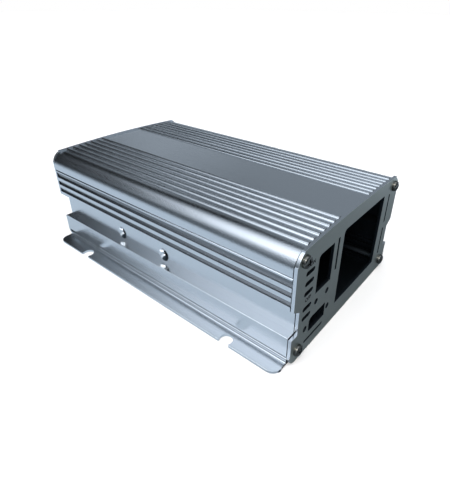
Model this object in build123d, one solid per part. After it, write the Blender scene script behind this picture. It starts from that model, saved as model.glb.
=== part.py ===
from build123d import *
import os
from math import sqrt

# Aluminium enclosure: a ribbed cover on a flanged base, closed by two screwed end panels.
# X runs along the extrusions, Y across them and Z up from the mounting face, in millimetres.
# Every section is drawn in its own plane, with its first coordinate across and its second up.

# Both extrusions
body_length = 170.0
body_width = 100.0
wall = 2.4

# Roof, measured at the rib crests on the centre line
crown_height = 58.4
crown_radius = 905.0
roof_thickness = 2.0
rib_count = 7
rib_pitch = 4.11
rib_width = 2.5
rib_height = 0.75
rib_inset = 8.8
rib_edge_break = 0.25
shoulder_radius = 7.2

# Toothed side bands, whose levels hang from the crown
bead_drop = 12.1
bead_width = 0.9
bead_depth = 0.6
first_land = 0.65
first_slope = 3.5
tooth_count = 3
tooth_pitch = 4.65
tooth_land = 2.0
tooth_depth = 0.9
tooth_undercut = 0.12

# Recessed lower side walls
bevel_rise = 2.7
bevel_root_radius = 1.0
recess_depth = 4.4
ledge_level = 15.6
edge_break = 0.25

# Seam between the cover and the base
seam_level = 5.0
seam_groove_height = 1.3
seam_groove_depth = 1.0
lap_clearance = 0.15
tongue_thickness = 2.0
tongue_height = 6.0
rim_top_radius = 0.8
rim_foot_radius = 0.7

# Base plate, flanges and their open notches
base_thickness = 1.5
flange_reach = 8.25
flange_corner_radius = 5.0
flange_edge_break = 0.3
notch_diameter = 6.5
notch_spacing = 112.0
notch_setback = 2.25
notch_lip_radius = 0.6

# Countersunk holes in the recessed walls
side_hole_diameter = 3.6
side_hole_sink_diameter = 7.4
side_hole_sink_depth = 1.6
side_hole_spacing = 35.4
side_hole_offset = -13.7
side_hole_level = 20.5

# Board rails inside the cover
board_slot = 1.9
rail_thickness = 1.2
rail_reach = 1.8

# Pan-head screws and the open channels that they are driven into
shank_diameter = 2.9
shank_length = 10.0
shank_clearance = 0.05
panel_hole_clearance = 0.2
head_diameter = 5.8
head_height = 2.0
head_wall_height = 1.0
head_top_diameter = 3.6
recess_width = 0.8
recess_length = 3.2
recess_reach = 1.2
channel_wall = 1.3
channel_mouth = 1.4
screw_inset = 5.6
screw_drop = 6.2
screw_level = 5.9

# End panels
panel_thickness = 1.5
panel_floor_gap = 0.1
panel_foot_radius = 4.2
panel_ledge_drop = 0.6
panel_corner_radius = 7.5
panel_corner_inset = 0.1
panel_step_run = 4.4
panel_step_drop = 5.5

# Openings of the front panel, placed from its left edge and from the mounting face
switch_width = 12.9
switch_height = 19.2
switch_left = 16.6
switch_bottom = 29.6
socket_width = 44.1
socket_height = 40.6
socket_left = 38.3
socket_bottom = 10.1
connector_width = 14.0
connector_height = 7.5
connector_left = 13.7
connector_bottom = 10.2
opening_corner_radius = 2.2
vent_length = 6.8
vent_width = 2.2
vent_pitch = 5.1
vent_left = 7.0
upper_vent_level = 44.9
upper_vents = 3
lower_vent_level = 26.7
lower_vents = 2
tall_slot_width = 1.5
tall_slot_length = 16.6
tall_slot_level = 41.0
middle_slot_left = 33.6
right_slot_inset = 10.6
lower_slot_level = 20.9
low_slot_length = 16.3
low_slot_width = 1.3
low_slot_left = 10.7
low_slot_level = 6.2
lamp_hole_diameter = 3.0
upper_lamp_level = 24.6
upper_lamp_lefts = (18.2, 27.8)
lower_lamp_level = 14.2
lower_lamp_lefts = (10.6, 30.2)

# Openings of the rear panel
rear_vent_length = 24.0
rear_vent_count = 11
rear_vent_level = 37.0
cable_hole_diameter = 9.0
cable_hole_spacing = 32.0
cable_hole_level = 13.0

half_width = body_width / 2
half_length = body_length / 2
base_radius = crown_radius - rib_height
bead_level = crown_height - bead_drop
tooth_top = bead_level - bead_width / 2 - first_land - first_slope
lip_level = tooth_top - tooth_land - (tooth_count - 1) * tooth_pitch
recess_face = half_width - recess_depth
flange_edge = half_width + flange_reach
screw_y = half_width - screw_inset
screw_levels = {"lower": screw_level, "upper": crown_height - screw_drop}
channel_radius = shank_diameter / 2 + shank_clearance
above_crown = crown_height + 5


def crown_disc(radius):
    """A disc about the centre of the roof's curve, which cuts a section off at that curve."""
    return Pos(0, crown_height - crown_radius) * Circle(radius)


def crown_level(y, radius):
    """The height of a curve of the roof at a distance y from the centre line."""
    return crown_height - crown_radius + sqrt(radius**2 - y**2)


def mirrored_face(points):
    """A face from the points of its right-hand side, repeated on the left."""
    left = [(-y, z) for y, z in reversed(points)]
    return make_face(Polyline(*points, *left, close=True))


def nearest(face, corners):
    """The face's vertices nearest to the given points and to their mirror images."""
    chosen = []
    for y, z in corners:
        for side in (1, -1):
            target = Vector(side * y, z)
            chosen.append(min(face.vertices(), key=lambda v: (Vector(*v) - target).length))
    return chosen


def rounded(face, corners, radius):
    return fillet(nearest(face, corners), radius)


def tooth_points():
    """The right-hand side from the bead down to the lip: lands, slopes and undercuts."""
    outer, root = half_width, half_width - tooth_depth
    points = [
        (outer, bead_level + bead_width / 2),
        (outer - bead_depth, bead_level),
        (outer, bead_level - bead_width / 2),
        (outer, bead_level - bead_width / 2 - first_land),
    ]
    for i in range(tooth_count):
        tip = tooth_top - i * tooth_pitch
        points += [(root, tip + tooth_undercut), (outer, tip), (outer, tip - tooth_land)]
    return points


def recess_points(ledge, foot):
    """The right-hand side from the lip down to the foot: bevel, recess, ledge and lower band."""
    return [
        (recess_face, lip_level - bevel_rise),
        (recess_face, ledge),
        (half_width, ledge),
        (half_width, foot),
    ]


def cover_outside():
    """The cover's outline without its ribs, closed across the seam."""
    lower_side = recess_points(ledge_level, seam_level)
    face = mirrored_face([(half_width, above_crown)] + tooth_points() + lower_side)
    face &= crown_disc(base_radius)
    face = rounded(face, [(half_width, crown_level(half_width, base_radius))], shoulder_radius)
    face = rounded(face, [(recess_face, lip_level - bevel_rise)], bevel_root_radius)
    return chamfer(nearest(face, [(half_width, ledge_level), (half_width, seam_level)]), edge_break)


def cover_inside():
    """The cover's hollow: the outline one wall further in, with plain sides behind the teeth."""
    upper = half_width - tooth_depth - wall
    lower = recess_face - wall
    slope = bevel_rise / recess_depth
    bevel_shift = wall * sqrt(1 + slope**2)
    bevel_start = lip_level - bevel_rise - slope * wall + bevel_shift
    side = [
        (upper, above_crown),
        (upper, bevel_start + slope * (upper - lower)),
        (lower, bevel_start),
        (lower, ledge_level - wall),
        (half_width - wall, ledge_level - wall),
        (half_width - wall, seam_level - 1),
    ]
    ceiling = base_radius - roof_thickness
    face = mirrored_face(side) & crown_disc(ceiling)
    return rounded(face, [(upper, crown_level(upper, ceiling))], shoulder_radius - wall)


def ribs():
    """The crests of both rib groups, each reaching down into the roof."""
    crests = Sketch()
    outermost = half_width - rib_inset - rib_width / 2
    for i in range(rib_count):
        for side in (1, -1):
            y = side * (outermost - i * rib_pitch)
            foot = crown_level(y, base_radius) - roof_thickness / 2
            crests += Pos(y, (foot + above_crown) / 2) * Rectangle(rib_width, above_crown - foot)
    return crests & crown_disc(crown_radius)


def channel(y, z, mouth_angle):
    """A screw channel's round wall and the bore and mouth that are cut from it."""
    boss = Pos(y, z) * Circle(channel_radius + channel_wall)
    reach = channel_radius + channel_wall + 1
    mouth = Pos(reach / 2, 0) * Rectangle(reach, channel_mouth)
    bore = Pos(y, z) * (Circle(channel_radius) + Rot(0, 0, mouth_angle) * mouth)
    return boss, bore


def extruded(section):
    return extrude(Plane.YZ.offset(-half_length) * section, amount=body_length)


def cover_section():
    section = cover_outside() + ribs()
    crest_ends = []
    for vertex in section.vertices():
        y, z, _ = vertex
        if abs(z - crown_level(y, crown_radius)) < 1e-4:
            crest_ends.append(vertex)
    section = chamfer(crest_ends, rib_edge_break) - cover_inside()
    lower = recess_face - wall
    for side, mouth_angle in ((1, 225), (-1, -45)):
        rail_y = side * (lower - (rail_reach - wall) / 2)
        for level in (0, rail_thickness + board_slot):
            rail_z = ledge_level - wall + level + rail_thickness / 2
            section += Pos(rail_y, rail_z) * Rectangle(rail_reach + wall, rail_thickness)
        boss, bore = channel(side * screw_y, screw_levels["upper"], mouth_angle)
        section = section + boss - bore
    return section


def cover():
    """The upper extrusion, with the countersunk holes through its recessed walls."""
    solid = extruded(cover_section())
    for side in (1, -1):
        for end in (1, -1):
            x = side_hole_offset + end * side_hole_spacing / 2
            at = Plane((x, side * recess_face, side_hole_level), z_dir=(0, side, 0))
            hole_radius = side_hole_diameter / 2
            sink = Cone(hole_radius, side_hole_sink_diameter / 2, side_hole_sink_depth)
            solid -= at * (Pos(0, 0, -side_hole_sink_depth / 2) * sink)
            solid -= at * Cylinder(hole_radius, 4 * wall)
    return solid


def base_section():
    """The floor and flanges, the rims that carry the cover and the tongues inside it."""
    section = Pos(0, base_thickness / 2) * Rectangle(2 * flange_edge, base_thickness)
    tongue_outer = half_width - wall - lap_clearance
    tongue_inner = tongue_outer - tongue_thickness
    rim_level = seam_level - seam_groove_height
    steps = (
        (half_width, rim_level),
        (half_width - seam_groove_depth, seam_level),
        (tongue_outer, seam_level + tongue_height),
    )
    for side in (1, -1):
        for outer, top in steps:
            height = top - base_thickness / 2
            step = Rectangle(outer - tongue_inner, height)
            section += Pos(side * (outer + tongue_inner) / 2, top - height / 2) * step
    section = rounded(section, [(half_width, rim_level)], rim_top_radius)
    section = rounded(section, [(half_width, base_thickness)], rim_foot_radius)
    flange_corners = nearest(section, [(flange_edge, base_thickness), (flange_edge, 0)])
    section = chamfer(flange_corners, flange_edge_break)
    for side, mouth_angle in ((1, 180), (-1, 0)):
        boss, bore = channel(side * screw_y, screw_level, mouth_angle)
        web = Rectangle(channel_radius + channel_wall, screw_level - base_thickness / 2)
        web_z = (screw_level + base_thickness / 2) / 2
        section = section + boss + Pos(side * screw_y, web_z) * web - bore
    return section


def base_plan():
    """The base seen from above: rounded flange corners and notches with rounded lips."""
    plan = Rectangle(body_length, 2 * flange_edge)
    for x_side in (1, -1):
        for y_side in (1, -1):
            centre = Pos(x_side * notch_spacing / 2, y_side * (flange_edge - notch_setback))
            plan -= centre * Circle(notch_diameter / 2)
    corners = [v for v in plan.vertices() if abs(abs(v.X) - half_length) < 0.01]
    plan = fillet(corners, flange_corner_radius)
    tangent = half_length - flange_corner_radius - 0.01
    lips = [v for v in plan.vertices() if abs(v.X) < tangent]
    return fillet(lips, notch_lip_radius)


def base():
    """The lower extrusion, trimmed to its plan."""
    return extruded(base_section()) & extrude(base_plan(), amount=above_crown)


def panel_blank():
    """The outline that both end panels share, with stepped upper corners and the screw holes."""
    side = [
        (half_width, above_crown),
        (half_width, lip_level),
        *recess_points(ledge_level - panel_ledge_drop, panel_floor_gap),
    ]
    face = mirrored_face(side) & crown_disc(crown_radius)
    face = rounded(face, [(half_width, panel_floor_gap)], panel_foot_radius)
    arc_y = half_width - panel_corner_inset - panel_corner_radius
    arc_z = crown_level(arc_y, crown_radius) - panel_corner_inset - panel_corner_radius
    step_y = half_width - panel_step_run
    step_z = crown_level(step_y, crown_radius) - panel_step_drop
    for side in (1, -1):
        corner = Pos(side * (step_y + panel_step_run), step_z + panel_step_drop)
        cutter = corner * Rectangle(2 * panel_step_run, 2 * panel_step_drop)
        face -= cutter - Pos(side * arc_y, arc_z) * Circle(panel_corner_radius)
        for level in screw_levels.values():
            hole = Circle(shank_diameter / 2 + panel_hole_clearance)
            face -= Pos(side * screw_y, level) * hole
    return face


def corner_opening(left, bottom, width, height):
    """A rectangular opening whose upper left corner alone is rounded."""
    face = Pos(left, bottom) * Rectangle(width, height, align=(Align.MIN, Align.MIN))
    corner = min(face.vertices(), key=lambda v: v.X - v.Y)
    return fillet([corner], opening_corner_radius)


def front_openings():
    """Everything that is punched from the front panel, from left to right."""
    left = -half_width
    cuts = corner_opening(left + switch_left, switch_bottom, switch_width, switch_height)
    cuts += corner_opening(left + socket_left, socket_bottom, socket_width, socket_height)
    cuts += corner_opening(left + connector_left, connector_bottom, connector_width, connector_height)
    vent = SlotOverall(vent_length, vent_width)
    vent_y = left + vent_left + vent_length / 2
    for start, count in ((upper_vent_level, upper_vents), (lower_vent_level, lower_vents)):
        for row in range(count):
            cuts += Pos(vent_y, start - row * vent_pitch) * vent
    tall_slot = Rectangle(tall_slot_width, tall_slot_length)
    cuts += Pos(left + middle_slot_left, tall_slot_level) * tall_slot
    for level in (tall_slot_level, lower_slot_level):
        cuts += Pos(half_width - right_slot_inset, level) * tall_slot
    low_slot = SlotOverall(low_slot_length, low_slot_width)
    cuts += Pos(left + low_slot_left + low_slot_length / 2, low_slot_level) * low_slot
    rows = ((upper_lamp_level, upper_lamp_lefts), (lower_lamp_level, lower_lamp_lefts))
    for level, lefts in rows:
        for lamp_left in lefts:
            cuts += Pos(left + lamp_left, level) * Circle(lamp_hole_diameter / 2)
    return cuts


def rear_openings():
    """Vent slots and two cable holes, as such housings have on the side away from the switch."""
    cuts = Sketch()
    vent = Rectangle(tall_slot_width, rear_vent_length)
    for column in range(rear_vent_count):
        cuts += Pos((column - (rear_vent_count - 1) / 2) * vent_pitch, rear_vent_level) * vent
    for side in (1, -1):
        cuts += Pos(side * cable_hole_spacing / 2, cable_hole_level) * Circle(cable_hole_diameter / 2)
    return cuts


def panel(openings, x):
    """A sheet panel whose inner or outer face starts at x and whose thickness runs along +X."""
    return extrude(Plane.YZ.offset(x) * (panel_blank() - openings), amount=panel_thickness)


def screw():
    """One pan-head screw, standing on its seat with its shank down."""
    head_radius, shank_radius = head_diameter / 2, shank_diameter / 2
    profile = Polyline(
        (0, head_height),
        (0, -shank_length),
        (shank_radius, -shank_length),
        (shank_radius, 0),
        (head_radius, 0),
        (head_radius, head_wall_height),
        (head_top_diameter / 2, head_height),
        close=True,
    )
    solid = revolve(Plane.XZ * make_face(profile), Axis.Z)
    for angle in (0, 90):
        slot = Pos(0, 0, head_height) * Box(recess_length, recess_width, 2 * recess_reach)
        solid -= Rot(0, 0, angle) * slot
    return solid


def screws():
    """Four screws for each panel, named by panel, row and side."""
    placed = {}
    seat = half_length + panel_thickness
    for panel_name, end in (("front", 1), ("rear", -1)):
        for row, level in screw_levels.items():
            for side_name, side in (("left", -1), ("right", 1)):
                at = Plane((end * seat, side * screw_y, level), z_dir=(end, 0, 0))
                placed[f"{panel_name}_screw_{row}_{side_name}"] = at * screw()
    return placed


def main():
    os.makedirs("parts", exist_ok=True)
    nodes = {
        "cover": cover(),
        "base": base(),
        "front_panel": panel(front_openings(), half_length),
        "rear_panel": panel(rear_openings(), -half_length - panel_thickness),
    }
    nodes.update(screws())
    for name, solid in nodes.items():
        export_step(solid, f"parts/{name}.step")


main()
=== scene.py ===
"""The looks of an aluminium enclosure: fine edges, screws, lettering, finishes with painted shade,
camera and studio.
"""
import math

import bmesh
import bpy
from mathutils import Matrix, Vector

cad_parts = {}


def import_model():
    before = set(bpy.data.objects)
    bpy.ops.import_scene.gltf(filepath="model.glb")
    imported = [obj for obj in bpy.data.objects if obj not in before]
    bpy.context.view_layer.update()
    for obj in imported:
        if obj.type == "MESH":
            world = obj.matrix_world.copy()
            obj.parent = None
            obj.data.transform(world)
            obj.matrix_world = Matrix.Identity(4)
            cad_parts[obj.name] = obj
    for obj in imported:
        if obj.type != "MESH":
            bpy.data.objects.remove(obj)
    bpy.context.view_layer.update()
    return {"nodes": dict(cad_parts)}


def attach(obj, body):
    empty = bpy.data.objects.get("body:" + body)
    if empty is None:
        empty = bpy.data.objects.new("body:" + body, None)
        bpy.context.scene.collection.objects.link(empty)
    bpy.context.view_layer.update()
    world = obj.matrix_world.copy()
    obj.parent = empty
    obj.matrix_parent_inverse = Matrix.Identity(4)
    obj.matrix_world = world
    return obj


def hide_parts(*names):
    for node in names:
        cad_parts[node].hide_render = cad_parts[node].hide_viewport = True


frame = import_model()
MM = 0.001

# Camera, matched to the photograph
CAMERA_PLACE = Vector((143.5, -152.6, 136.2)) * MM
CAMERA_AIM = Vector((27.5, -8.2, 30.0)) * MM
CAMERA_ROLL = 0.33
LENS = 29.46
SENSOR = 36.0
SHIFT = (-0.0386, -0.0300)
SIGHT = (0.01, 200.0)

# Edge widths, in millimetres, and the faces across each edge
EXTRUSION_EDGE = 0.14
SHEET_EDGE = 0.08
EDGE_SEGMENTS = 2

# Least angles that count as sharp, and the angle and distance within which faces and corners merge
SHARP_ANGLE = math.radians(13)
SCREW_ANGLE = math.radians(28)
FLAT_ANGLE = math.radians(0.05)
SAME_PLACE = 0.002

# Ends of the extrusions, in millimetres: the front ones are drawn back from the panel by the gap
EXTRUSION_END = 85.0
END_REACH = 0.01
END_GAP = 0.35
END_ZONE = 84.0

# The hollow, in millimetres: its half width up to each level, its crown and its floor
HOLLOW_STEPS = ((13.6, 47.9), (27.0, 43.6), (31.0, 47.1))
HOLLOW_TOP = 56.0
HOLLOW_CURVE = 1804.5
FLOOR_LEVEL = 1.2

# Where the painted shade goes, in millimetres: under the teeth, in panel openings, up to the panel top
# and in countersinks
TOOTH_ROOT = 49.0
TOOTH_LEVELS = (31.0, 45.5)
PUNCHED_SIDE = 45.4
PANEL_LINE = 56.5
SINK_SIDES = (43.0, 45.5)
SINK_LEVELS = (16.5, 24.5)

# How far a face's normal leans, out of 1, where it counts as the named one
FACING_END = 0.9
FACING_IN = 0.5
UNDER_TOOTH = -0.2
FACING_SIDE = 0.95
SINK_TURN = 0.3

# Rib crests, rounded by blasting, in millimetres but for the counts and the reach, which is a share
CREST_TOP = 58.4
CREST_CURVE = 1810.0
CREST_COUNT = 7
CREST_OUTERMOST = 39.95
CREST_PITCH = 4.11
CREST_HALF = 1.25
CREST_DROP = 0.52
CREST_BREAK = 0.3
CREST_CUTS = 6
CREST_REACH = 1.02

# Panel face and screws, in millimetres, then the screws' steps, seed and largest turn in radians
FRONT_FACE = 86.5
SCREW_SIDE = 44.4
SCREW_LEVELS = (5.9, 52.2)
SCREW_SIZES = {
    "Head Radius": 2.85,
    "Head Height": 1.9,
    "Shank Radius": 1.44,
    "Shank Length": 10.0,
    "Thread Pitch": 0.5,
    "Thread Depth": 0.25,
    "Recess Depth": 1.3,
    "Recess Reach": 1.65,
    "Recess Width": 0.8,
}
HEAD_STEPS = (48, 12)
THREAD_STEPS = (24, 84)
TURN_SEED = 4
TURN_MOST = 1.5

# Forms of the dome and the thread, and the recess's shares of its sizes at its bottom and its top
DOME_POWER = 0.62
THREAD_OVERRUN = 1.04
THREAD_ENDS = (14.0, 60.0)
RECESS_REACH = (0.45, 1.35)
RECESS_WIDTH = (0.8, 1.05)
RECESS_LEVEL = (-1.0, 0.3)

# Lettering beside the switch: the word, its centre across the panel and its level
SWITCH_WORDS = (("ON", -38.5, 48.4), ("OFF", -39.5, 31.2))
LETTER_HEIGHT = 2.1
LETTER_WEIGHT = 0.045
INK_LIFT = 0.01

# Grain of the finishes: its scales, its darker tone and lines, and the ranges of roughness it gives
EVEN = (1.0, 1.0, 1.0)
LINE_STRETCH = (0.02, 1.0, 1.0)
LINE_SCALE = 900.0
SPECKLE_SCALE = 1800.0
SPECKLE_DETAIL = 2.0
CLOUD_SCALE = 30.0
PLATING_SCALE = 400.0
INK_SCALE = 2000.0
DARKER = 0.93
LINE_SHARE = 0.6
CLOUD_RANGE = 0.08
SPECKLE_RANGE = 0.05
PLATING_RANGE = 0.12
INK_RANGE = 0.2

# Floor, walls and card of the studio, in metres but for the card's lift in millimetres
FLOOR_REACH = 60.0
WALL_REACH = 5.0
FLOOR_COLOUR = (0.965, 0.935, 0.90)
# The card's colour is a darker floor: painted shade that shows only in reflections.
CARD_COLOUR = (0.55, 0.62, 0.68)
CARD_LIFT = 0.4

# Painted shade on the card, seen in reflections: centre and reach in millimetres, the evenly dark share
# of it, and depth
FAR = FLOOR_REACH / MM
CARD_SHADE_TONES = (
    ((0.0, -FAR - 120.0), (10 * FAR, FAR), 0.9972, 0.80),
    ((125.0, 50.0), (80.0, 170.0), 0.60, 0.67),
)

# The mirrored room: tints and levels, and edges and caps by direction, cosines of fading, and gain
ROOM_COLOUR = (0.86, 1.0, 1.15)
ROOM_LEVEL = 0.16
SOFTBOX_COLOUR = (0.94, 1.0, 1.09)
SOFTBOX_LEVEL = 2.17
SOFTBOX_SHARE = 0.6
SOFTBOX_EDGES = (
    ((0.862, 0.311, -0.400), -0.999, -0.913),
    ((0.406, -0.577, 0.709), 0.034, 0.727),
    ((0.267, 0.958, 0.104), -1.076, -0.544),
    ((-1.0, 0.0, 0.0), -0.7, -0.3),
)
ROOM_CAPS = (
    ((-0.019, 0.834, -0.551), 0.077, 0.277, 0.156),
    ((-0.752, 0.568, 0.336), 0.964, 1.150, 3.448),
    ((-0.816, -0.147, 0.559), 0.585, 0.671, -0.170),
    ((-0.30, 0.35, 0.89), 0.94, 1.00, 0.12),
    ((0.80, 0.30, 0.40), 0.70, 0.95, 0.30),
)


class Value:
    """A socket inside a node tree, with its arithmetic written as Python operators."""

    def __init__(self, graph, socket):
        self.graph = graph
        self.socket = socket

    def math(self, operation, *terms):
        return self.graph.node("ShaderNodeMath", {"operation": operation}, *terms)

    def __add__(self, other):
        return self.math("ADD", self, other)

    def __sub__(self, other):
        return self.math("SUBTRACT", self, other)

    def __rsub__(self, other):
        return self.math("SUBTRACT", other, self)

    def __mul__(self, other):
        return self.math("MULTIPLY", self, other)

    def __truediv__(self, other):
        return self.math("DIVIDE", self, other)

    __radd__ = __add__
    __rmul__ = __mul__

    def part(self, index):
        """Another output of the node that this one comes from."""
        return Value(self.graph, self.socket.node.outputs[index])


class Graph:
    """A node tree that is built by calls."""

    def __init__(self, tree):
        self.tree = tree

    def node(self, kind, settings=None, *values, output=0, **named):
        """A node of the given type, with its settings, then the values or links of its sockets."""
        made = self.tree.nodes.new(kind)
        for key, value in (settings or {}).items():
            setattr(made, key, value)
        for index, value in enumerate(values):
            self.feed(made.inputs[index], value)
        for key, value in named.items():
            self.feed(made.inputs[key.replace("_", " ")], value)
        return Value(self, made.outputs[output])

    def feed(self, socket, value):
        """Gives a socket a link or a plain value."""
        if isinstance(value, Value):
            self.tree.links.new(value.socket, socket)
        else:
            socket.default_value = value

    def blend(self, share, first, last):
        """A colour that goes from the first to the last with the share."""
        mixed = self.node("ShaderNodeMix", {"data_type": "RGBA"}, share, output=2)
        ends = mixed.socket.node.inputs[6], mixed.socket.node.inputs[7]
        for socket, colour in zip(ends, (first, last)):
            socket.default_value = (*colour, 1.0)
        return mixed


class Finish(Graph):
    """A finish whose nodes feed one shader."""

    def __init__(self, name):
        self.material = bpy.data.materials.new(name)
        self.material.use_nodes = True
        super().__init__(self.material.node_tree)
        self.shader = self.tree.nodes["Principled BSDF"]

    def set(self, **sockets):
        """Feeds the shader's sockets by name."""
        for key, value in sockets.items():
            self.feed(self.shader.inputs[key.replace("_", " ")], value)

    def grain(self, stretch, scale, detail=3.0):
        """Noise over the surface, stretched along each axis by the given amounts."""
        place = self.node("ShaderNodeTexCoord", output=3)
        stretched = self.node("ShaderNodeMapping", None, place, Scale=stretch)
        return self.node("ShaderNodeTexNoise", None, Vector=stretched, Scale=scale, Detail=detail)


class Recipe(Graph):
    """A geometry tree with named sizes, which makes one plain mesh."""

    def __init__(self, name, sizes):
        self.name = name
        super().__init__(bpy.data.node_groups.new(name, "GeometryNodeTree"))
        self.sizes = sizes
        self.keys = {}
        for label in sizes:
            made = self.tree.interface.new_socket(label, in_out="INPUT", socket_type="NodeSocketFloat")
            self.keys[label] = made.identifier
        made = self.tree.interface.new_socket("Finish", in_out="INPUT", socket_type="NodeSocketMaterial")
        self.keys["Finish"] = made.identifier
        self.tree.interface.new_socket("Shape", in_out="OUTPUT", socket_type="NodeSocketGeometry")
        self.entry = self.tree.nodes.new("NodeGroupInput")

    def size(self, label):
        """The named size, as a link."""
        return Value(self, self.entry.outputs[label])

    def place(self):
        """The three parts of a point's position."""
        split = self.node("ShaderNodeSeparateXYZ", None, self.node("GeometryNodeInputPosition"))
        return split, split.part(1), split.part(2)

    def joined(self, *shapes):
        """Several shapes as one."""
        made = self.tree.nodes.new("GeometryNodeJoinGeometry")
        for shape in shapes:
            self.tree.links.new(shape.socket, made.inputs[0])
        return Value(self, made.outputs[0])

    def moved(self, shape, x, y, z):
        """The shape with its points at the given places."""
        spot = self.node("ShaderNodeCombineXYZ", None, x, y, z)
        return self.node("GeometryNodeSetPosition", None, shape, Position=spot)

    def turned(self, around, along, radius_and_height):
        """A closed skin round the Z axis: the rule gives its radius and height at each step and turn."""
        flat = self.node("GeometryNodeMeshGrid", None, 1.0, 1.0, around + 1, along + 1)
        across, up, _ = self.place()
        turn = (across + 0.5) * math.tau
        radius, height = radius_and_height(up + 0.5, turn)
        x, y = turn.math("COSINE", turn) * radius, turn.math("SINE", turn) * radius
        skin = self.moved(flat, x, y, height)
        return self.node("GeometryNodeMergeByDistance", None, skin, Distance=0.5 * SAME_PLACE * MM)

    def baked(self, shape, finish):
        """The recipe's plain mesh, made with its sizes and the finish."""
        whole = self.node("GeometryNodeRealizeInstances", None, shape)
        coated = self.node("GeometryNodeSetMaterial", None, whole, Material=self.size("Finish"))
        end = self.tree.nodes.new("NodeGroupOutput")
        self.tree.links.new(coated.socket, end.inputs[0])
        holder = bpy.data.objects.new("holder", bpy.data.meshes.new("holder"))
        bpy.context.scene.collection.objects.link(holder)
        modifier = holder.modifiers.new(self.name, "NODES")
        modifier.node_group = self.tree
        for label, value in self.sizes.items():
            modifier[self.keys[label]] = value * MM
        modifier[self.keys["Finish"]] = finish
        return plain_mesh(holder)


def plain_mesh(holder):
    """The object's finished shape as a mesh, with the object removed."""
    ready = holder.evaluated_get(bpy.context.evaluated_depsgraph_get())
    mesh = bpy.data.meshes.new_from_object(ready)
    bpy.data.objects.remove(holder)
    return mesh


def anodised(name, colour, roughness, speckle, line):
    """Blasted and anodised metal, with specks and drawn lines of the given heights in millimetres."""
    finish = Finish(name)
    lines = finish.grain(LINE_STRETCH, LINE_SCALE)
    specks = finish.grain(EVEN, SPECKLE_SCALE, SPECKLE_DETAIL)
    cloud = finish.grain(EVEN, CLOUD_SCALE)
    dark = tuple(DARKER * part for part in colour)
    tone = finish.blend(lines * LINE_SHARE + specks * (1 - LINE_SHARE), dark, colour)
    height = specks * speckle + lines * line
    bumped = finish.node("ShaderNodeBump", None, Height=height, Strength=1.0, Distance=MM)
    least = roughness - (CLOUD_RANGE + SPECKLE_RANGE) / 2
    uneven = cloud * CLOUD_RANGE + specks * SPECKLE_RANGE + least
    finish.set(Base_Color=tone, Metallic=1.0, Roughness=uneven, Normal=bumped)
    return finish.material


def plated(name, colour, roughness):
    """Smooth plating, slightly uneven."""
    finish = Finish(name)
    uneven = finish.grain(EVEN, PLATING_SCALE) * PLATING_RANGE + (roughness - PLATING_RANGE / 2)
    finish.set(Base_Color=(*colour, 1.0), Metallic=1.0, Roughness=uneven)
    return finish.material


def ink(name, colour, roughness):
    """Matt printing ink."""
    finish = Finish(name)
    uneven = finish.grain(EVEN, INK_SCALE) * INK_RANGE + (roughness - INK_RANGE / 2)
    finish.set(Base_Color=(*colour, 1.0), Roughness=uneven, Specular_IOR_Level=0.1)
    return finish.material


def placed(name, mesh, *materials):
    """A new object in the scene, with the materials added to its mesh."""
    for material in materials:
        mesh.materials.append(material)
    piece = bpy.data.objects.new(name, mesh)
    bpy.context.scene.collection.objects.link(piece)
    return piece


def within(value, limits):
    """Whether a value lies between the two limits."""
    return limits[0] < value < limits[1]


def hollow(across, level, side):
    """Whether a place lies inside the housing, whose half width there is the side."""
    return across < side and FLOOR_LEVEL < level < HOLLOW_TOP - across**2 / HOLLOW_CURVE


def extrusion_finish_and_shade(centre, normal):
    """The finish of an extrusion's face: 0 outside, 1 painted shade in the hollow, on cut ends and on
    the side of each countersink that faces away from the front, 2 painted shade under a tooth.
    """
    across, level = abs(centre.y) / MM, centre.z / MM
    # Painted shade on the cut ends, where they show in the gap at the front.
    if abs(normal.x) > FACING_END and abs(centre.x) > END_ZONE * MM:
        return 1
    # A second painted shade on the undersides of the teeth.
    if across > TOOTH_ROOT and within(level, TOOTH_LEVELS) and normal.z < UNDER_TOOTH:
        return 2
    # Painted shade on the side of each countersink that faces away from the front.
    if within(across, SINK_SIDES) and within(level, SINK_LEVELS) and abs(normal.y) < FACING_SIDE:
        return int(normal.x < SINK_TURN)
    # Painted shade over the hollow.
    side = next((reach for top, reach in HOLLOW_STEPS if level < top), HOLLOW_STEPS[-1][1])
    return int(hollow(across, level, side))


def panel_finish_and_shade(centre, normal):
    """The finish of a panel's face: 0 outside, in the panel grey darkened as painted shade, 1 painted
    shade inwards and in openings, 2 the lighter body metal round the outline.
    """
    across, level = abs(centre.y) / MM, centre.z / MM
    # Painted shade on inward faces, except the rear panel's inner face above the panel line, which takes
    # the lighter body metal.
    if centre.x * normal.x < -FACING_IN * abs(centre.x):
        return 2 if level > PANEL_LINE and centre.x < 0 else 1
    if abs(normal.x) > FACING_END:
        return 0
    # Painted shade in the openings within the hollow; the outline takes the lighter body metal.
    return 1 if hollow(across, level, PUNCHED_SIDE) else 2


def crest_place(corner):
    """A crest corner's place across its rib, as a share, and its depth below the crown, else nothing."""
    across = abs(corner.co.y) / MM
    depth = CREST_TOP - across**2 / CREST_CURVE - corner.co.z / MM
    for rib in range(CREST_COUNT):
        share = (across - CREST_OUTERMOST + rib * CREST_PITCH) / CREST_HALF
        if abs(share) < CREST_REACH and depth < CREST_BREAK:
            return share, depth
    return None


def crowned(shape):
    """Rounds the rib crests of the cover."""
    across = []
    for seam in shape.edges:
        first, last = seam.verts
        spots = crest_place(first), crest_place(last)
        if all(spots) and abs(first.co.y - last.co.y) > CREST_HALF * MM:
            across.append(seam)
    bmesh.ops.subdivide_edges(shape, edges=across, cuts=CREST_CUTS, use_grid_fill=True)
    for corner in shape.verts:
        spot = crest_place(corner)
        if spot:
            corner.co.z += (spot[1] - CREST_DROP * spot[0] ** 2) * MM


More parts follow.
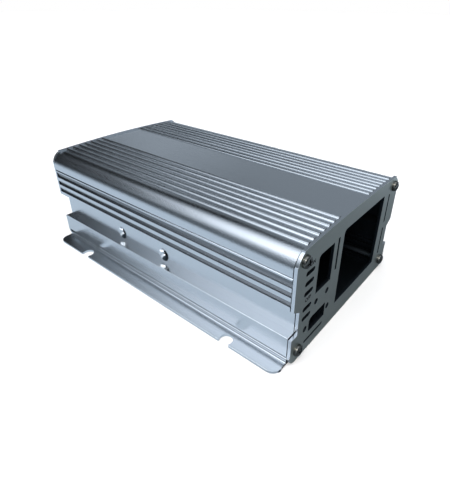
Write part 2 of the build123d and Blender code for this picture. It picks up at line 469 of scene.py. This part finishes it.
def edged(node, name, finishes, edge, gap, finish_or_shade_of):
    """The node's shape with sharp edges rounded, its front end drawn back and each face's own finish or
    painted shade.
    """
    mesh = frame["nodes"][node].data.copy()
    mesh.name = name
    mesh.materials.clear()
    for material in finishes:
        mesh.materials.append(material)
    shape = bmesh.new()
    shape.from_mesh(mesh)
    bmesh.ops.remove_doubles(shape, verts=shape.verts, dist=SAME_PLACE * MM)
    bmesh.ops.dissolve_limit(shape, angle_limit=FLAT_ANGLE, verts=shape.verts, edges=shape.edges)
    if node == "cover":
        crowned(shape)
    else:
        whole = shape.verts[:] + shape.edges[:] + shape.faces[:]
        line = (0.0, 0.0, PANEL_LINE * MM)
        bmesh.ops.bisect_plane(shape, geom=whole, plane_co=line, plane_no=(0.0, 0.0, 1.0))
    for corner in shape.verts:
        if gap and corner.co.x > (EXTRUSION_END - END_REACH) * MM:
            corner.co.x -= gap * MM
    inner = [seam for seam in shape.edges if len(seam.link_faces) == 2]
    sharp = [seam for seam in inner if seam.calc_face_angle() > SHARP_ANGLE]
    bmesh.ops.bevel(shape, geom=sharp, offset=edge * MM, segments=EDGE_SEGMENTS, profile=0.5,
                    affect="EDGES", clamp_overlap=True)
    shape.normal_update()
    for face in shape.faces:
        face.material_index = finish_or_shade_of(face.calc_center_median(), face.normal)
    shape.to_mesh(mesh)
    shape.free()
    mesh.shade_smooth()
    mesh.set_sharp_from_angle(angle=SHARP_ANGLE)
    rough = placed("rough", mesh)
    level = rough.modifiers.new("level", "WEIGHTED_NORMAL")
    level.mode = "FACE_AREA"
    level.weight = 100
    level.keep_sharp = True
    piece = placed(name, plain_mesh(rough))
    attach(piece, "root")
    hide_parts(node)


def pan_head_screws(finish):
    """Four cross-recessed screws at each end, made once and repeated."""
    made = Recipe("pan_head_screws", SCREW_SIZES)

    def dome(step, turn):
        """The head's rounded top, from its rim to its middle."""
        swing = step * (math.pi / 2)
        radius = swing.math("POWER", swing.math("COSINE", swing), DOME_POWER) * made.size("Head Radius")
        height = swing.math("POWER", swing.math("SINE", swing), DOME_POWER) * made.size("Head Height")
        return radius, height

    def thread(step, turn):
        """The shank with a ridge wound round it, closed at both ends."""
        length = made.size("Shank Length")
        height = step * length * THREAD_OVERRUN - length
        wave = height / made.size("Thread Pitch") - turn * (1 / math.tau)
        ridge = wave.math("PINGPONG", wave, 0.5) * 2.0
        ends = step.math("MINIMUM", step * THREAD_ENDS[0], (1.0 - step) * THREAD_ENDS[1])
        shape = step.math("MINIMUM", ends, 1.0)
        return (made.size("Shank Radius") - ridge * made.size("Thread Depth")) * shape, height

    def tapered(label, rise, ends):
        """A size that goes from its first share at the bottom to its last at the top."""
        return made.size(label) * (rise * (ends[1] - ends[0]) + ends[0])

    def wing(turn):
        """One bar of the cross recess, wider at its top."""
        block = made.node("GeometryNodeMeshCube", None, (1.0, 1.0, 1.0))
        x, y, z = made.place()
        rise = z + 0.5
        along = x * 2.0 * tapered("Recess Reach", rise, RECESS_REACH)
        across = y * tapered("Recess Width", rise, RECESS_WIDTH)
        level = made.size("Head Height") + tapered("Recess Depth", rise, RECESS_LEVEL)
        bar = made.moved(block, along, across, level)
        return made.node("GeometryNodeTransform", None, bar, Rotation=(0.0, 0.0, turn))

    radius = made.size("Head Radius")
    seat = made.node("GeometryNodeMeshCircle", {"fill_type": "NGON"}, HEAD_STEPS[0], radius)
    under = made.node("GeometryNodeFlipFaces", None, seat)
    head = made.joined(made.turned(*HEAD_STEPS, dome), under)
    head = made.node("GeometryNodeMergeByDistance", None, head, Distance=SAME_PLACE * MM)
    cut = made.node("GeometryNodeMeshBoolean", {"operation": "DIFFERENCE"}, head)
    for turn in (0.0, math.pi / 2):
        made.tree.links.new(wing(turn).socket, cut.socket.node.inputs[1])
    screw = made.joined(cut, made.turned(*THREAD_STEPS, thread))
    spread = (2 * SCREW_SIDE * MM, (SCREW_LEVELS[1] - SCREW_LEVELS[0]) * MM)
    spots = made.node("GeometryNodeMeshGrid", None, *spread, 2, 2)
    turns = made.node("FunctionNodeRandomValue", {"data_type": "FLOAT"}, output=1, Seed=TURN_SEED)
    turns.socket.node.inputs[2].default_value = 0.0
    turns.socket.node.inputs[3].default_value = TURN_MOST
    turned = made.node("ShaderNodeCombineXYZ", None, 0.0, 0.0, turns)
    four = made.node("GeometryNodeInstanceOnPoints", None, spots, Instance=screw, Rotation=turned)
    middle = (SCREW_LEVELS[0] + SCREW_LEVELS[1]) / 2
    place = (FRONT_FACE * MM, 0.0, middle * MM)
    front = made.node("GeometryNodeTransform", None, four, Translation=place,
                      Rotation=(math.pi / 2, 0.0, math.pi / 2))
    rear = made.node("GeometryNodeTransform", None, front, Rotation=(0.0, 0.0, math.pi))
    mesh = made.baked(made.joined(front, rear), finish)
    mesh.shade_smooth()
    mesh.set_sharp_from_angle(angle=SCREW_ANGLE)
    piece = placed("pan_head_screws", mesh)
    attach(piece, "root")
    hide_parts(*[node for node in frame["nodes"] if "screw" in node])


def lettering(material):
    """The words beside the switch, printed on the panel."""
    for word, across, level in SWITCH_WORDS:
        text = bpy.data.curves.new(f"word_{word.lower()}", "FONT")
        text.body = word
        text.size = 1.0
        text.align_x = "CENTER"
        text.align_y = "CENTER"
        text.offset = LETTER_WEIGHT
        drawn = bpy.data.objects.new("drawn", text)
        bpy.context.scene.collection.objects.link(drawn)
        mesh = plain_mesh(drawn)
        tall = max(v.co.y for v in mesh.vertices) - min(v.co.y for v in mesh.vertices)
        size = LETTER_HEIGHT / tall * MM
        stand = Matrix(((0, 0, 1, 0), (1, 0, 0, 0), (0, 1, 0, 0), (0, 0, 0, 1)))
        spot = Matrix.Translation(Vector((FRONT_FACE + INK_LIFT, across, level)) * MM)
        mesh.transform(spot @ stand @ Matrix.Scale(size, 4))
        piece = placed(f"word_{word.lower()}", mesh, material)
        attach(piece, "root")


def sun(name, toward, width, strength, colour):
    """A far soft lamp that shines from the given direction and is width degrees across."""
    data = bpy.data.lights.new(name, "SUN")
    data.energy = strength
    data.angle = math.radians(width)
    data.color = colour
    lamp = bpy.data.objects.new(name, data)
    bpy.context.scene.collection.objects.link(lamp)
    lamp.rotation_euler = Vector(toward).to_track_quat("Z", "Y").to_euler()


def camera():
    """The camera in the photograph's place."""
    data = bpy.data.cameras.new("camera")
    data.lens = LENS
    data.sensor_width = SENSOR
    data.shift_x, data.shift_y = SHIFT
    data.clip_start, data.clip_end = SIGHT
    made = bpy.data.objects.new("camera", data)
    bpy.context.scene.collection.objects.link(made)
    turn = (CAMERA_AIM - CAMERA_PLACE).to_track_quat("-Z", "Y").to_matrix().to_4x4()
    roll = Matrix.Rotation(math.radians(CAMERA_ROLL), 4, "Z")
    made.matrix_world = Matrix.Translation(CAMERA_PLACE) @ turn @ roll
    bpy.context.scene.camera = made


def square(reach):
    """The corners of a square round the middle."""
    return [(x * reach, y * reach) for x, y in ((-1, -1), (1, -1), (1, 1), (-1, 1))]


def floor():
    """The floor, and white walls round it that show to the camera alone."""
    finish = Finish("floor_white")
    finish.set(Base_Color=(*FLOOR_COLOUR, 1.0), Roughness=1.0, Specular_IOR_Level=0.0)
    mesh = bpy.data.meshes.new("floor")
    mesh.from_pydata([(*place, 0.0) for place in square(FLOOR_REACH)], [], [(0, 1, 2, 3)])
    placed("floor", mesh, finish.material)
    mesh = bpy.data.meshes.new("backdrop")
    corners = [(*place, height) for height in (0.0, WALL_REACH) for place in square(WALL_REACH)]
    walls = [(side, (side + 1) % 4, (side + 1) % 4 + 4, side + 4) for side in range(4)]
    mesh.from_pydata(corners, [], walls)
    glow = Finish("backdrop_white")
    glow.set(Base_Color=(0.0, 0.0, 0.0, 1.0), Emission_Color=(1.0, 1.0, 1.0, 1.0), Emission_Strength=1.0,
             Roughness=1.0, Specular_IOR_Level=0.0)
    wall = placed("backdrop", mesh, glow.material)
    wall.visible_glossy = False
    wall.visible_diffuse = False
    wall.visible_shadow = False


def world():
    """The room that lights the metal and shows in it: a soft box within its edges, plus the caps."""
    made = bpy.data.worlds.new("studio")
    bpy.context.scene.world = made
    made.use_nodes = True
    room = Graph(made.node_tree)
    toward = room.node("ShaderNodeTexCoord")

    def faded(direction, low, high, amount=1.0):
        """The amount where the room lies that way, and nothing where it lies well away from it."""
        dot = {"operation": "DOT_PRODUCT"}
        facing = room.node("ShaderNodeVectorMath", dot, toward, direction, output=1)
        smooth = {"interpolation_type": "SMOOTHSTEP"}
        return room.node("ShaderNodeMapRange", smooth, facing, low, high, 0.0, amount)

    level = SOFTBOX_LEVEL
    for edge in SOFTBOX_EDGES:
        level = faded(*edge) * level
    level = level + ROOM_LEVEL
    for cap in ROOM_CAPS:
        level = faded(*cap) + level
    level = level.math("MAXIMUM", level, 0.0)
    shine = made.node_tree.nodes["Background"]
    room.feed(shine.inputs["Color"], room.blend(level * SOFTBOX_SHARE, ROOM_COLOUR, SOFTBOX_COLOUR))
    room.feed(shine.inputs["Strength"], level)


def mirror_card():
    """A card just over the floor that shows in reflections alone, painted darker in places as shade for
    the metal to mirror.
    """
    mesh = bpy.data.meshes.new("mirror_card")
    mesh.from_pydata([(*place, CARD_LIFT * MM) for place in square(FLOOR_REACH)], [], [(0, 1, 2, 3)])
    finish = Finish("card_tones")
    place = finish.node("ShaderNodeTexCoord", output=3)
    tone = 1.0
    # Each tone darkens the card as painted shade around its centre.
    for centre, reach, core, depth in CARD_SHADE_TONES:
        moved = finish.node("ShaderNodeVectorMath", {"operation": "SUBTRACT"}, place,
                            (centre[0] * MM, centre[1] * MM, CARD_LIFT * MM))
        scaled = finish.node("ShaderNodeVectorMath", {"operation": "DIVIDE"}, moved,
                             (reach[0] * MM, reach[1] * MM, 1.0))
        away = finish.node("ShaderNodeVectorMath", {"operation": "LENGTH"}, scaled, output=1)
        lit = finish.node("ShaderNodeMapRange", {"interpolation_type": "SMOOTHSTEP"}, away,
                          core, 1.0, 1.0 - depth, 1.0)
        tone = lit * tone
    colour = finish.node("ShaderNodeCombineColor", None, *[tone * part for part in CARD_COLOUR])
    finish.set(Base_Color=colour, Roughness=1.0, Specular_IOR_Level=0.0)
    made = placed("mirror_card", mesh, finish.material)
    made.visible_camera = False
    made.visible_diffuse = False
    made.visible_shadow = False


silver = anodised("blasted_aluminium", (0.585, 0.616, 0.645), roughness=0.21, speckle=0.05, line=0.02)
# The panel's grey, darkened below the body's metal as painted shade for its face.
sheet_painted_shade = anodised("panel_aluminium", (0.385, 0.405, 0.370), roughness=0.33, speckle=0.02, line=0.0)
nickel = plated("dark_nickel", (0.10, 0.10, 0.092), roughness=0.12)
print_ink = ink("grey_ink", (0.02, 0.022, 0.024), roughness=0.8)
# Painted shade: a dark tone for the undersides of the teeth.
painted_tooth_shade = anodised("tooth_slope", (0.15, 0.16, 0.17), roughness=0.23, speckle=0.0002, line=0.0002)
# Painted shade: a near-black tone for the hollow, the cut ends, the turned-away countersink faces and
# the panel's inner faces and openings.
shade = anodised("dark_inside", (0.035, 0.045, 0.055), roughness=0.45, speckle=0.0002, line=0.0)

for node, name in (("cover", "ribbed_cover"), ("base", "flanged_base")):
    edged(node, name, (silver, shade, painted_tooth_shade), EXTRUSION_EDGE, END_GAP, extrusion_finish_and_shade)
for node, name in (("front_panel", "punched_panel"), ("rear_panel", "vented_panel")):
    edged(node, name, (sheet_painted_shade, shade, silver), SHEET_EDGE, 0.0, panel_finish_and_shade)
pan_head_screws(nickel)
lettering(print_ink)

floor()
mirror_card()
world()
camera()
sun("fill", toward=(0.3, -0.6, 0.74), width=20.0, strength=1.2, colour=(1.0, 0.93, 0.85))
bpy.context.scene.view_settings.view_transform = "Standard"
